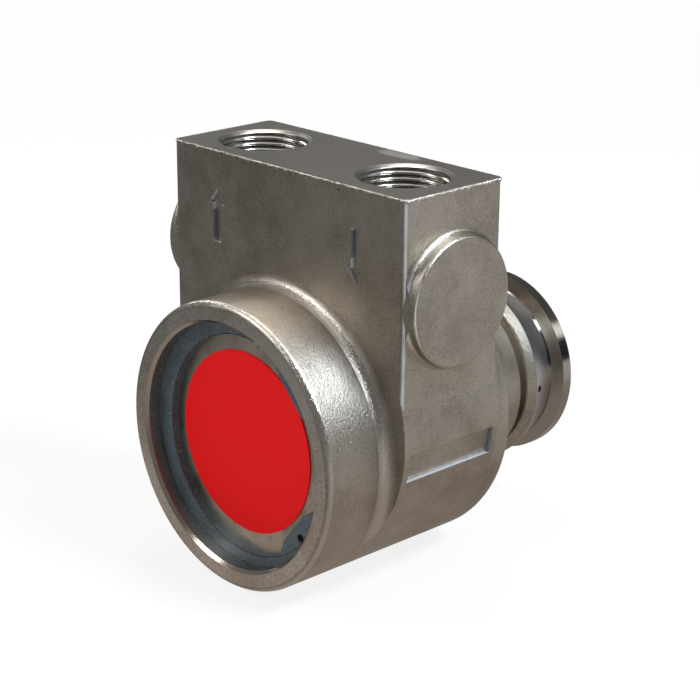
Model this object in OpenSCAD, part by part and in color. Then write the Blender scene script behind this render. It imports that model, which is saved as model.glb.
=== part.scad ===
// Rotary vane pump with a cast stainless steel housing, shown with its shaft level.
// Millimetres. The origin is the centre of the clamp flange's rear face, on the shaft axis.
// +Y runs along the shaft towards the motor, and +Z runs up to the two ports.

/* [Port block] */
// Width of the block over its flat sides
block_w = 95; // [90:1:110]
// Depth of the block along the shaft
block_d = 37.2; // [36:0.2:44]
// Height of the machined top above the shaft axis
block_top = 77.2; // [72:0.2:90]
// Radius of the block's upright cast corners
corner_r = 1.5; // [0.5:0.1:3]
// Sideways shift of each bulge's centre from the shaft axis
bulge_x = 6.5; // [5:0.5:9]
// Height of each bulge's centre above the shaft axis
bulge_z = 7.6; // [4:0.2:12]

/* [Drum] */
// Outer radius of the round drum at the front and at the rear
drum_r = 42.3; // [41:0.1:48]
// Length of the front drum ahead of the block
drum_len = 21.7; // [18:0.1:30]
// Rounding of the front drum's outer rim
drum_edge_r = 1.9; // [0.5:0.1:3]
// Concave blend between the drum and the block
blend_r = 3.7; // [1:0.1:5]
// Straight length of the rear drum behind the block
rear_len = 8.8; // [6:0.1:14]
// Large rounding at the rear drum's edge
rear_r = 8.5; // [5:0.1:10]

/* [Rear neck and clamp flange] */
// Length of the tapered hub behind the rear drum
hub_len = 18; // [14:0.5:24]
// Radius of the hub where it leaves the rear drum
hub_front_r = 31.5; // [29:0.1:33]
// Radius of the hub at the neck groove
hub_rear_r = 26.9; // [26:0.1:28]
// Width of the cast neck groove
groove_w = 2.8; // [2:0.1:4]
// Radius of the floor of the neck groove
groove_r = 22.6; // [21:0.1:24]
// Width of the cast ring ahead of the clamp flange
collar_w = 11.7; // [9:0.1:14]
// Radius of the cast ring's front face
collar_r = 26.9; // [26:0.1:28]
// Radius of the cast ring's ridge, from which it falls to the machined land
ridge_r = 28.2; // [27:0.1:28.5]
// Distance of the ridge from the cast ring's front face
ridge_w = 2.8; // [2:0.1:5]
// Rounding of the cast edges beside the neck groove
neck_edge_r = 1.1; // [0.3:0.1:1.3]
// Width of the machined land at the root of the bevel
land_w = 1.0; // [0.5:0.1:2]
// Radius of the machined land at the root of the bevel
land_r = 25.3; // [24.5:0.1:26]
// Length of the bevel that the clamp pulls on
bevel_w = 1.8; // [1:0.1:3]
// Outer radius of the clamp flange
flange_r = 28.575; // [28:0.025:30]
// Width of the clamp flange's rim
flange_w = 3.5; // [2.5:0.1:5]
// Radius of the spigot that centres the pump on the motor
spigot_r = 22.2; // [21.5:0.1:24]
// Length of the spigot
spigot_len = 2.5; // [2:0.1:4]
// Chamfer at the spigot's end
spigot_chamfer = 0.5; // [0.2:0.1:1]
// Diameter of the weep hole in the cast ring
weep_d = 2.2; // [1.5:0.1:3]

/* [Ports] */
// Distance of each port from the middle of the block
port_x = 28.65; // [26:0.05:31]
// Radius of the port wall at the root of its thread
port_r = 13.3; // [12:0.1:15]
// Depth of the threaded wall
port_depth = 17; // [12:1:22]
// Radius of the countersunk mouth
port_mouth_r = 13.85; // [13.4:0.05:15.5]
// Depth of the countersink down to the thread's root
port_sink = 0.3; // [0.2:0.05:0.8]
// Radius of the passage below the thread
passage_r = 9.5; // [7:0.5:11]
// Height of the passage's floor above the shaft axis
passage_floor = 9; // [7:0.5:14]

/* [Side bosses] */
// Radius of the blank boss on each side
boss_r = 18.4; // [15:0.1:18.5]
// Height of the bosses above the shaft axis
boss_z = 46.4; // [44:0.1:54]
// How far each boss stands out of the block
boss_h = 3.9; // [2:0.1:6]
// Rounding of the boss's outer rim
boss_edge_r = 0.9; // [0.3:0.1:1.5]
// Concave blend at the foot of the boss
boss_blend_r = 1.8; // [0.5:0.1:2]

/* [Cast marks] */
// Depth of the flow arrows and of the bare side panel
mark_depth = 1.1; // [0.4:0.1:1.5]
// Width of an arrow's shaft
arrow_w = 3.3; // [2:0.1:4]
// Overall length of an arrow
arrow_len = 15.8; // [12:0.1:18]
// Length of an arrow's head
arrow_head = 4.5; // [3:0.1:6]
// How far an arrow's head stands out from its shaft
arrow_barb = 1.7; // [1:0.1:3]
// Height of the arrows' middle above the shaft axis
arrow_z = 57.8; // [54:0.1:64]
// Length of the bare panel along the shaft
panel_len = 33.3; // [28:0.1:34]
// Height of the bare panel
panel_h = 8.2; // [6:0.1:10]
// Height of the bare panel's middle above the shaft axis
panel_z = 1.6; // [-1:0.1:4]

/* [Front cover and its ring] */
// Wall of the drum round the end cap's bore
rim_wall = 6.3; // [5:0.1:8]
// Chamfer at the mouth of that bore
mouth_chamfer = 0.9; // [0.3:0.1:1.5]
// Depth of the retaining ring below the drum's front face
ring_recess = 4.85; // [3:0.05:6]
// Thickness of the retaining ring
ring_t = 2.5; // [2:0.1:3]
// How far the retaining ring's groove is cut into the bore
ring_groove = 1.5; // [1:0.1:2]
// Distance of the retaining ring's eccentric inner edge from the bore
ring_w = 3.7; // [3:0.1:5]
// Sideways shift of that inner edge, which leaves the ring widest opposite its gap
ring_shift = 2.3; // [1.5:0.1:3]
// Turn of the ring's gap above level
ring_turn = 2; // [0:1:6]
// Half angle from the gap's middle to a ring end
ring_end_angle = 23.5; // [20:0.5:26]
// Half angle from the gap's middle to a plier hole
ring_hole_angle = 41; // [37:0.5:44]
// Distance of the plier holes from the bore
ring_hole_in = 3.2; // [2:0.1:4]
// Diameter of a plier hole
ring_hole_d = 2.6; // [2:0.1:3.5]
// Width of a lug's flat inner edge
lug_w = 13; // [10:0.5:15]
// Distance of a lug's flat inner edge from the bore
lug_h = 6.8; // [6:0.1:8]
// Length of a lug's slope towards the gap
lug_near = 3.4; // [2:0.1:5]
// Rise of that slope
lug_near_rise = 1; // [0.5:0.1:2]
// Length of a lug's slope away from the gap
lug_far = 6.5; // [4:0.1:8]
// Rise of that slope
lug_far_rise = 2.5; // [1:0.1:3.5]
// Bare margin between the round label and the bore
label_margin = 9.1; // [8:0.1:16]
// Thickness of the round label
label_t = 0.3; // [0.2:0.1:1]
// Chamfer of the end cap's outer edge
cap_chamfer = 0.5; // [0.2:0.1:1]
// Depth of the recess in the end cap for the shaft's end
cap_recess = 3; // [2.5:0.5:5]
// Thickness of the O-ring's cord
oring_d = 2.62; // [2:0.01:3.5]
// Share of that thickness that the groove squeezes away
oring_squeeze = 0.05; // [0.02:0.01:0.2]
// Width of the O-ring's groove
oring_w = 3.4; // [3:0.1:4.5]

/* [Pumping stack] */
// Step from the end cap's bore to the bore that holds the liner and its bearings
stack_step = 2; // [1:0.1:3]
// Thickness of each carbon bearing plate
plate_t = 9.8; // [8:0.1:12]
// Width of the liner
liner_w = 27; // [24:0.5:30]
// Thinnest wall of the liner
liner_wall = 6.9; // [6:0.1:9]
// Distance of the liner's bore axis below the shaft axis
liner_shift = 2.4; // [1:0.1:3]
// Radius of the round ends of the liner's windows
window_r = 6; // [4:0.5:8]
// Distance between the round ends of the liner's windows
window_span = 8; // [4:0.5:10]
// Thickness of a vane
vane_t = 3; // [2:0.1:4]
// Metal between the shaft and the floor of a vane's slot
slot_floor = 3.5; // [2.5:0.1:4.5]
// Radius of a vane's rounded tip
vane_tip_r = 6.6; // [5.5:0.1:8]
// Free depth under a vane that is level with the rotor
vane_play = 1.2; // [0.5:0.1:1.5]
// Turn of the first vane from level at rest
vane_turn = 30; // [0:5:55]
// Radius of the water grooves along each bearing plate's bore
lube_r = 1; // [0.5:0.1:1.5]
// Number of water grooves in each bearing plate
lube_count = 3; // [2:1:6]
// Radius of the dowel that stops the stack from turning
dowel_r = 1.5; // [1:0.1:2]
// How far the dowel reaches into the end cap and into the housing
dowel_reach = 3; // [2:0.5:4]

/* [Shaft] */
// Radius of the shaft in the carbon bearings, the rotor and the seal
shaft_r = 8; // [7.7:0.1:9]
// Radius of the shaft in the ball bearing
seat_r = 7.5; // [7:0.1:7.6]
// Width across the two flats that drive the rotor
flat_w = 13; // [12:0.1:14]
// Radius of the shaft behind the ball bearing
tail_r = 5.55; // [5:0.05:6]
// Thickness of the drive tang
tang_t = 4.7; // [4:0.1:6]
// Length of the drive tang
tang_len = 9; // [6:0.5:12]
// How far the tang's tip stands out of the clamp flange's face
shaft_out = 11; // [8:0.5:14]
// How far the shaft's front end reaches into the end cap
shaft_nose = 2; // [1:0.1:2.2]
// Chamfer of the shaft's ends
shaft_chamfer = 0.6; // [0.2:0.1:1]
// Length of the land behind the shaft's snap ring
snap_land = 1; // [0.5:0.1:1.5]

/* [Shaft seal] */
// Radius of the cavity round the shaft seal
seal_bore_r = 15; // [14.5:0.1:16]
// Thickness of the fixed seal seat with its rubber cup
seat_t = 6.5; // [5:0.1:8]
// Thickness of the seat's rubber cup
cup_t = 1.5; // [1:0.1:2]
// Radius of the pocket that the cup is pressed into
cup_bore_r = 14; // [13.5:0.1:14.4]
// Length of the carbon seal face
face_t = 3.5; // [3:0.1:5]
// Clearance round the shaft in the seat
seat_gap = 1; // [0.5:0.1:1.4]
// Clearance round the shaft in the cup and in the wall behind it
wall_gap = 1.5; // [1:0.1:2]
// Length of the rubber bellows behind the seal face
bellows_len = 9; // [7:0.5:12]
// Thickness of the rubber bellows
bellows_t = 1.7; // [1.2:0.1:1.9]
// Number of waves in the bellows
bellows_waves = 3; // [2:1:3]
// Radius of a wave
wave_r = 0.9; // [0.5:0.1:1]
// Thickness of the spring's wire
wire_d = 1.6; // [1.2:0.1:2]
// Number of turns in the spring
spring_turns = 3; // [2:1:4]
// Radius of the spring at the middle of its wire
coil_r = 11.3; // [11.1:0.1:11.6]
// Thickness of the spring's collar on the shaft
collar_t = 2; // [1.5:0.1:3]

/* [Ball bearing] */
// Outer radius of the ball bearing
brg_ro = 17.5; // [17:0.1:18]
// Width of the ball bearing
brg_b = 11; // [10:0.5:13]
// Radius of a ball
ball_r = 2.95; // [2.9:0.01:3]
// Number of balls
ball_count = 8; // [6:1:8]
// Half of the gap between the two races
race_gap = 1.8; // [1.5:0.1:2]
// Width of the cage beside the balls
cage_edge = 0.9; // [0.5:0.1:1.2]
// Thickness of the bearing's shields
shield_t = 0.6; // [0.4:0.1:0.8]
// How far the shields reach into the outer race
shield_seat = 1; // [0.5:0.1:1.5]
// How far the shields lie inside the bearing's sides
shield_in = 0.3; // [0.2:0.1:0.5]
// Distance of the bearing's rear side from the clamp flange's face
brg_setback = 0.9; // [0.5:0.1:1.5]
// Width of the weep chamber ahead of the bearing
chamber_w = 3.6; // [3:0.1:5]
// Height of the shoulder that the outer race rests on
brg_shoulder = 2; // [1:0.1:3]
// Thickness of the wall between the seal and the weep chamber
seal_wall_t = 3; // [2.5:0.1:4]

/* [Snap rings] */
// Thickness of the snap ring that holds the bearing in the housing
snap_t = 1.2; // [1:0.1:1.5]
// Depth of its groove in the housing
snap_groove = 1; // [0.6:0.1:1.4]
// Thickness of the snap ring on the shaft
clip_t = 1; // [0.8:0.1:1.2]
// Depth of its groove in the shaft
clip_groove = 0.5; // [0.3:0.1:0.8]
// How far that ring stands out of the bearing's seat
clip_w = 1.2; // [0.8:0.1:1.5]
// Sideways shift of its outer edge, which leaves it widest opposite its gap
clip_shift = 0.5; // [0.2:0.1:0.7]
// Half angle of its gap
clip_gap_angle = 12; // [8:1:14]
// Half angle from the gap's middle to a lug
clip_lug_angle = 24; // [22:1:30]
// Radius of a lug
clip_lug_r = 1.5; // [1.2:0.1:1.8]
// Radius of the plier hole in a lug
clip_hole_r = 0.7; // [0.4:0.1:0.8]

/* [Clearances] */
// Radial clearance of pieces that slide into a bore
slip = 0.05; // [0.02:0.01:0.1]
// Clearance on each side of a piece that runs against another
run = 0.05; // [0.02:0.01:0.1]
// Gap between the rotor and the liner where they are closest
seal_gap = 0.12; // [0.05:0.01:0.2]
// Clearance between metal and pieces that stand clear of it
free = 0.4; // [0.3:0.1:0.6]

/* [Hidden] */

// Facets of a drawn circle
$fn = 96;
// How far a cut or a joined shape runs past a face
end = 1;
// A length too small to see, by which faces cross or stay clear instead of only grazing
hair = 0.02;
// Number of vanes; each is a sub-part of its own
vane_count = 6;

// Places along the shaft, from the clamp flange's rear face forwards
rim_y = -flange_w;
bevel_y = rim_y - bevel_w;
land_y = bevel_y - land_w;
collar_y = land_y - collar_w;
ridge_y = collar_y + ridge_w;
groove_y = collar_y - groove_w;
hub_y = groove_y - hub_len;
rear_y = hub_y - rear_r;
back_y = rear_y - rear_len;
front_y = back_y - block_d;
mouth_y = front_y - drum_len;
port_y = (front_y + back_y) / 2;

// Front cover: retaining ring and end cap
ring_y = mouth_y + ring_recess;
cap_y = ring_y + ring_t;
cap_bore_r = drum_r - rim_wall;
ring_groove_r = cap_bore_r + ring_groove;
lug_in = cap_bore_r - lug_h;
label_r = cap_bore_r - label_margin;
oring_room = oring_d * (1 - oring_squeeze);

// Pumping stack, centred below the ports
liner_y = port_y - liner_w / 2;
liner_end = port_y + liner_w / 2;
stack_y = liner_y - plate_t;
floor_y = liner_end + plate_t;
stack_bore_r = cap_bore_r - stack_step;
stack_r = stack_bore_r - slip;
oring_y = (cap_y + stack_y) / 2;
liner_bore_r = stack_r - liner_wall - liner_shift;
rotor_r = liner_bore_r - liner_shift - seal_gap;
rotor_w = liner_w - 2 * run;
slot_r = shaft_r + slot_floor;
vane_r = slot_r + vane_play;

// Ball bearing, weep chamber and shaft seal, from the rear
brg_end = -brg_setback;
brg_y = brg_end - brg_b;
chamber_y = brg_y - chamber_w;
wall_y = chamber_y - seal_wall_t;
seat_y = wall_y - seat_t;
face_y = seat_y - face_t;
bellows_y = face_y - bellows_len;
collar_front = floor_y + free;
weep_y = (chamber_y + brg_y) / 2;
pitch_r = (brg_ro + seat_r) / 2;
shield_r = pitch_r + race_gap + shield_seat;
brg_mid = (brg_y + brg_end) / 2;
wall_hole_r = shaft_r + wall_gap;

// Outlines, drawn as [radius, place along the shaft]
module about_shaft() {
    rotate([-90, 0, 0]) rotate_extrude() children();
}

// A plain ring round the shaft axis, from y0 to y1
module ring(r_out, r_in, y0, y1) {
    about_shaft() translate([r_in, y0]) square([r_out - r_in, y1 - y0]);
}

// A plain cylinder on the shaft axis, from y0 to y1
module bar(r, y0, y1) {
    translate([0, y0, 0]) rotate([-90, 0, 0]) cylinder(r = r, h = y1 - y0);
}

// A flat outline in X and Z, carried along Y from y0 to y1
module along_y(y0, y1) {
    translate([0, y1, 0]) rotate([90, 0, 0]) linear_extrude(y1 - y0) children();
}

// A rectangle whose corners are quarter circles
module soft_rect(x0, y0, w, h, r) {
    translate([x0 + r, y0]) square([w - 2 * r, h]);
    translate([x0, y0 + r]) square([w, h - 2 * r]);
    for (x = [x0 + r, x0 + w - r], y = [y0 + r, y0 + h - r]) translate([x, y]) circle(r);
}

// The corner left between a wall on the left and a floor below, filled to a concave quarter circle.
// The circle is moved a hair towards both, so that it crosses them instead of only grazing them.
module cove(r) {
    difference() {
        translate([-end, -end]) square(r + end - hair);
        translate([r - hair, r - hair]) circle(r);
    }
}

// What the lower block adds to the drum: the drum's round, carried sideways on each side
module bulge_outline() {
    reach = norm([bulge_x, bulge_z]);
    for (side = [0, 1]) mirror([side, 0]) {
        translate([bulge_x, bulge_z]) circle(drum_r);
        rotate(atan2(bulge_z, bulge_x))
            translate([0, hair - drum_r]) square([reach, 2 * (drum_r - hair)]);
    }
}

// The block's lower half
module lower_block() {
    along_y(front_y, back_y) bulge_outline();
}

// Concave blends between the drums and the block's faces, cut off at the block's outline
module drum_blends() {
    intersection() {
        about_shaft() {
            translate([drum_r, front_y]) mirror([0, 1]) cove(blend_r);
            translate([drum_r, back_y]) cove(blend_r);
        }
        along_y(front_y - blend_r - end, back_y + blend_r + end) {
            bulge_outline();
            translate([-block_w / 2, bulge_z]) square([block_w, block_top - bulge_z]);
        }
    }
}

// The block's upper half, with its upright corners rounded and its top left square
module upper_block() {
    translate([0, 0, bulge_z]) linear_extrude(block_top - bulge_z)
        soft_rect(-block_w / 2, front_y, block_w, block_d, corner_r);
}

// Front drum, rear drum, hub, neck, cast ring and clamp flange as one turned outline
module turned_outline() {
    soft_front();
    translate([0, mouth_y + drum_edge_r]) square([drum_r, rear_y - mouth_y - drum_edge_r]);
    translate([0, rear_y - end]) square([drum_r - rear_r, rear_r + end]);
    translate([drum_r - rear_r, rear_y]) circle(rear_r);
    cast_run(hub_y - end, groove_y, hub_front_r, hub_rear_r);
    translate([0, groove_y - end]) square([groove_r, groove_w + 2 * end]);
    cast_ring();
    polygon([
        [0, land_y - end],
        [land_r, land_y - end],
        [land_r, bevel_y],
        [flange_r, rim_y],
        [flange_r, 0],
        [spigot_r, 0],
        [spigot_r, spigot_len - spigot_chamfer],
        [spigot_r - spigot_chamfer, spigot_len],
        [0, spigot_len]
    ]);
    module soft_front() {
        translate([0, mouth_y]) square([drum_r - drum_edge_r, drum_edge_r + end]);
        translate([drum_r - drum_edge_r, mouth_y + drum_edge_r]) circle(drum_edge_r);
    }
    module cast_run(y0, y1, r0, r1) {
        polygon([[0, y0], [r0, y0], [r1, y1 - neck_edge_r], [r1 - neck_edge_r, y1], [0, y1]]);
        translate([r1 - neck_edge_r, y1 - neck_edge_r]) circle(neck_edge_r);
    }
    module cast_ring() {
        middle = [collar_r - neck_edge_r, collar_y + neck_edge_r];
        rise = [ridge_r, ridge_y] - middle;
        // Where the line to the ridge touches the edge's rounding, a hair inside it
        touch = atan2(rise[1], rise[0]) - acos(neck_edge_r / norm(rise));
        translate(middle) circle(neck_edge_r);
        polygon([
            [0, collar_y],
            [middle[0], collar_y],
            middle + (neck_edge_r - hair) * [cos(touch), sin(touch)],
            [ridge_r, ridge_y],
            [land_r, land_y],
            [0, land_y]
        ]);
    }
}

// A blank boss on one side, with a concave foot that ends at the block's upright corners
module side_boss() {
    translate([block_w / 2, port_y, boss_z]) rotate([0, 90, 0]) rotate_extrude() {
        translate([0, -corner_r - end]) square([boss_r, boss_h + corner_r + end - boss_edge_r]);
        translate([0, -corner_r - end]) square([boss_r - boss_edge_r, boss_h + corner_r + end]);
        translate([boss_r - boss_edge_r, boss_h - boss_edge_r]) circle(boss_edge_r);
    }
    intersection() {
        translate([block_w / 2, port_y, boss_z]) rotate([0, 90, 0]) rotate_extrude()
            translate([boss_r, 0]) cove(boss_blend_r);
        translate([0, front_y + corner_r / 2, 0]) cube([block_w, block_d - corner_r, block_top]);
    }
}

// A flow arrow pointing up, centred on its length
module arrow() {
    half_head = arrow_w / 2 + arrow_barb;
    translate([-arrow_w / 2, -arrow_len / 2]) square([arrow_w, arrow_len - arrow_head]);
    polygon([
        [-half_head, arrow_len / 2 - arrow_head],
        [half_head, arrow_len / 2 - arrow_head],
        [0, arrow_len / 2]
    ]);
}

// Flow marks sunk in the front face: out of the left port, into the right port
module flow_marks() {
    along_y(front_y - end, front_y + mark_depth) {
        translate([-port_x, arrow_z]) arrow();
        translate([port_x, arrow_z]) rotate(180) arrow();
    }
}

// The bare panel sunk in the right bulge, with its floor parallel to the bulge
module side_panel() {
    intersection() {
        translate([bulge_x, 0, bulge_z]) ring(drum_r + end, drum_r - mark_depth, front_y, back_y);
        translate([bulge_x, port_y - panel_len / 2, panel_z - panel_h / 2])
            cube([block_w, panel_len, panel_h]);
    }
}

// One port: countersunk mouth, wall at the thread's root, and the passage down to the liner
module port_bore(x) {
    translate([x, port_y, 0]) {
        translate([0, 0, block_top - port_depth]) cylinder(r = port_r, h = port_depth + end);
        rotate_extrude() polygon([
            [0, block_top - port_sink],
            [port_r, block_top - port_sink],
            [port_mouth_r, block_top],
            [port_mouth_r, block_top + end],
            [0, block_top + end]
        ]);
        rotate_extrude() polygon([
            [0, block_top - port_depth - (port_r - passage_r) / 2],
            [passage_r, block_top - port_depth - (port_r - passage_r) / 2],
            [port_r, block_top - port_depth],
            [0, block_top - port_depth]
        ]);
        translate([0, 0, passage_floor])
            cylinder(r = passage_r, h = block_top - port_depth - passage_floor);
    }
}

// Every bore on the shaft axis, from the front mouth to the rear face
module shaft_bores() {
    bar(cap_bore_r, mouth_y - end, stack_y);
    about_shaft() polygon([
        [0, mouth_y - end],
        [cap_bore_r + mouth_chamfer + end, mouth_y - end],
        [cap_bore_r, mouth_y + mouth_chamfer],
        [0, mouth_y + mouth_chamfer]
    ]);
    bar(ring_groove_r, ring_y - slip, cap_y + slip);
    bar(stack_bore_r, stack_y - end, floor_y);
    bar(seal_bore_r, floor_y - end, seat_y);
    bar(cup_bore_r, seat_y - end, wall_y);
    bar(wall_hole_r, wall_y - end, chamber_y + end);
    bar(brg_ro - brg_shoulder, chamber_y, brg_y + end);
    bar(brg_ro, brg_y, spigot_len + end);
    bar(brg_ro + snap_groove, brg_end, brg_end + snap_t + slip);
}

// Housing: one investment casting, machined at the top, the ports, the bores and the clamp flange
module housing() {
    color([0.53, 0.50, 0.46]) difference() {
        union() {
            upper_block();
            lower_block();
            drum_blends();
            about_shaft() turned_outline();
            side_boss();
            mirror([1, 0, 0]) side_boss();
        }
        flow_marks();
        side_panel();
        port_bore(-port_x);
        port_bore(port_x);
        shaft_bores();
        translate([0, weep_y, 0]) rotate([0, 90, 0]) cylinder(d = weep_d, h = block_w / 2);
        dowel_hole(dowel_r + slip, floor_y - end, floor_y + dowel_reach + slip);
    }
}

// The dowel's place is in the thin lower wall of the liner
module dowel_hole(r, y0, y1) {
    z = (liner_bore_r + liner_shift + stack_r) / 2;
    translate([0, 0, -z]) bar(r, y0, y1);
}

// End cap: a turned disc with an O-ring groove and a recess for the shaft's end
module end_cap() {
    color("gray") difference() {
        about_shaft() polygon([
            [0, cap_y],
            [cap_bore_r - slip - cap_chamfer, cap_y],
            [cap_bore_r - slip, cap_y + cap_chamfer],
            [cap_bore_r - slip, oring_y - oring_w / 2],
            [cap_bore_r - oring_room, oring_y - oring_w / 2],
            [cap_bore_r - oring_room, oring_y + oring_w / 2],
            [cap_bore_r - slip, oring_y + oring_w / 2],
            [cap_bore_r - slip, stack_y],
            [shaft_r + free, stack_y],
            [shaft_r + free, stack_y - cap_recess],
            [0, stack_y - cap_recess]
        ]);
        dowel_hole(dowel_r + slip, stack_y - dowel_reach - slip, stack_y + end);
    }
}

module end_cap_o_ring() {
    color("black") about_shaft()
        translate([cap_bore_r - oring_room / 2, oring_y]) circle(oring_room / 2 - hair);
}

module label() {
    color("red") bar(label_r, cap_y - label_t, cap_y);
}

// An internal retaining ring's outline: an eccentric open ring with a lug at each end.
// k scales the front ring's standard proportions to another bore.
module inner_ring_outline(outer, k) {
    difference() {
        union() {
            difference() {
                circle(outer);
                translate([k * ring_shift, 0]) circle(k * (cap_bore_r - ring_w));
            }
            for (side = [0, 1]) mirror([0, side]) lug();
        }
        polygon([
            [0, 0],
            [2 * outer * cos(ring_end_angle), 2 * outer * sin(ring_end_angle)],
            [2 * outer * cos(ring_end_angle), -2 * outer * sin(ring_end_angle)]
        ]);
        for (side = [-1, 1]) rotate(side * ring_hole_angle)
            translate([k * (cap_bore_r - ring_hole_in), 0]) circle(d = k * ring_hole_d);
    }
    module lug() {
        intersection() {
            rotate(ring_hole_angle) scale(k) translate([lug_in, 0]) polygon([
                [0, -lug_w / 2],
                [lug_near_rise, -lug_w / 2 - lug_near],
                [lug_h, -lug_w / 2 - lug_near],
                [lug_h, lug_w / 2 + lug_far],
                [lug_far_rise, lug_w / 2 + lug_far],
                [0, lug_w / 2]
            ]);
            circle(outer);
        }
    }
}

// Retaining ring of the end cap, with its gap on the right
module retaining_ring() {
    color("slategray") along_y(ring_y, cap_y) rotate(ring_turn)
        inner_ring_outline(ring_groove_r - slip, 1);
}

// A carbon bearing plate with water grooves along its bore; one lies at each end of the liner
module bearing_plate(y0) {
    difference() {
        ring(stack_r, shaft_r + run, y0, y0 + plate_t);
        dowel_hole(dowel_r + slip, y0 - end, y0 + plate_t + end);
        for (i = [0 : lube_count - 1]) rotate([0, 90 + i * 360 / lube_count, 0])
            translate([shaft_r + run, y0 - end, 0]) rotate([-90, 0, 0])
                cylinder(r = lube_r, h = plate_t + 2 * end);
    }
}

module front_bearing() {
    color("dimgray") bearing_plate(stack_y);
}

module rear_bearing() {
    color("dimgray") bearing_plate(liner_end);
}

// Liner: a carbon ring with an eccentric bore and one window for each port
module liner() {
    color("dimgray") difference() {
        bar(stack_r, liner_y, liner_end);
        translate([0, 0, -liner_shift]) bar(liner_bore_r, liner_y - end, liner_end + end);
        for (side = [0, 1]) mirror([side, 0, 0]) liner_window();
        dowel_hole(dowel_r + slip, liner_y - end, liner_end + end);
    }
}

// A round-ended window through the liner's wall, where the right port's passage meets it
module liner_window() {
    rotate([0, -acos(port_x / stack_bore_r), 0]) {
        translate([0, port_y - window_span / 2, -window_r])
            cube([stack_bore_r + end, window_span, 2 * window_r]);
        for (side = [-0.5, 0.5]) translate([0, port_y + side * window_span, 0])
            rotate([0, 90, 0]) cylinder(r = window_r, h = stack_bore_r + end);
    }
}

module alignment_dowel() {
    color("silver") dowel_hole(dowel_r, stack_y - dowel_reach, floor_y + dowel_reach);
}

// Rotor: a slotted steel cylinder, driven by two flats on the shaft
module rotor() {
    slot_t = vane_t + 2 * run;
    color("lightsteelblue") difference() {
        bar(rotor_r, port_y - rotor_w / 2, port_y + rotor_w / 2);
        along_y(port_y - liner_w, port_y + liner_w) intersection() {
            circle(shaft_r + slip);
            square([2 * shaft_r + end, flat_w + 2 * slip], center = true);
        }
        for (i = [0 : vane_count - 1]) at_vane(i)
            translate([slot_r, port_y - liner_w, -slot_t / 2]) cube([rotor_r, 2 * liner_w, slot_t]);
    }
}

// Turns a child drawn along +X to the angle of vane i
module at_vane(i) {
    rotate([0, -vane_turn - i * 360 / vane_count, 0]) children();
}

// One vane with a rounded tip, lying level with the rotor's rim
module vane(i) {
    tip = rotor_r - run;
    color("dimgray") at_vane(i) along_y(port_y - rotor_w / 2, port_y + rotor_w / 2) intersection() {
        translate([vane_r, -vane_t / 2]) square([tip - vane_r, vane_t]);
        translate([tip - vane_tip_r, 0]) circle(vane_tip_r);
    }
}

// Shaft: journals, drive flats, bearing seat, snap ring groove and drive tang
module shaft() {
    nose_y = stack_y - shaft_nose;
    flat_y = port_y - rotor_w / 2;
    clip_end = brg_end + clip_t + slip;
    color("silver") difference() {
        about_shaft() polygon([
            [0, nose_y],
            [shaft_r - shaft_chamfer, nose_y],
            [shaft_r, nose_y + shaft_chamfer],
            [shaft_r, brg_y],
            [seat_r - slip, brg_y],
            [seat_r - slip, brg_end],
            [seat_r - clip_groove, brg_end],
            [seat_r - clip_groove, clip_end],
            [seat_r - slip, clip_end],
            [seat_r - slip, clip_end + snap_land],
            [tail_r, clip_end + snap_land],
            [tail_r, shaft_out - shaft_chamfer],
            [tail_r - shaft_chamfer, shaft_out],
            [0, shaft_out]
        ]);
        for (side = [0, 180]) rotate([0, side, 0]) {
            translate([-shaft_r - end, flat_y, flat_w / 2])
                cube([2 * (shaft_r + end), rotor_w, shaft_r]);
            translate([-shaft_r, shaft_out - tang_len, tang_t / 2])
                cube([2 * shaft_r, tang_len + end, shaft_r]);
        }
    }
}

// Shaft seal: a rubber cup in the housing, holding the fixed ceramic seat
module seat_cup() {
    color("black") about_shaft() polygon([
        [cup_bore_r - slip, seat_y + free],
        [cup_bore_r - slip, wall_y],
        [wall_hole_r, wall_y],
        [wall_hole_r, wall_y - cup_t],
        [cup_bore_r - slip - cup_t, wall_y - cup_t],
        [cup_bore_r - slip - cup_t, seat_y + free]
    ]);
}

module seal_seat() {
    color("ivory") ring(cup_bore_r - 2 * slip - cup_t, shaft_r + seat_gap, seat_y, wall_y - cup_t - slip);
}

// The carbon ring that turns with the shaft and runs against the seat
module seal_face() {
    color("dimgray") about_shaft() polygon([
        [shaft_r + free, face_y],
        [coil_r + wire_d / 2, face_y],
        [coil_r + wire_d / 2, face_y + face_t / 2],
        [coil_r - wire_d / 2, face_y + face_t / 2 + wire_d / 2],
        [coil_r - wire_d / 2, seat_y - run],
        [shaft_r + free, seat_y - run]
    ]);
}

// The rubber bellows that seals the carbon ring to the shaft
module seal_bellows() {
    color("black") about_shaft() difference() {
        translate([shaft_r + slip, bellows_y]) square([bellows_t, bellows_len]);
        for (i = [0 : bellows_waves - 1])
            translate([shaft_r + slip + bellows_t, bellows_y + bellows_len * (i + 0.5) / bellows_waves])
                circle(wave_r);
    }
}

// The coil spring between the collar and the carbon ring
module seal_spring() {
    sides = 8;
    steps = 20;
    y0 = collar_front + collar_t + wire_d / 2 + slip;
    y1 = face_y - wire_d / 2 - slip;
    count = steps * spring_turns;
    rings = [for (i = [0 : count], j = [0 : sides - 1])
        let (a = 360 * i / steps, b = 360 * j / sides, r = coil_r + wire_d / 2 * cos(b))
        [r * cos(a), y0 + (y1 - y0) * i / count + wire_d / 2 * sin(b), r * sin(a)]];
    skin = [for (i = [0 : count - 1], j = [0 : sides - 1])
        [i * sides + j, i * sides + (j + 1) % sides, (i + 1) * sides + (j + 1) % sides, (i + 1) * sides + j]];
    caps = [
        [for (j = [sides - 1 : -1 : 0]) j],
        [for (j = [0 : sides - 1]) count * sides + j]
    ];
    color("silver") polyhedron(points = rings, faces = concat(skin, caps));
}

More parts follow.
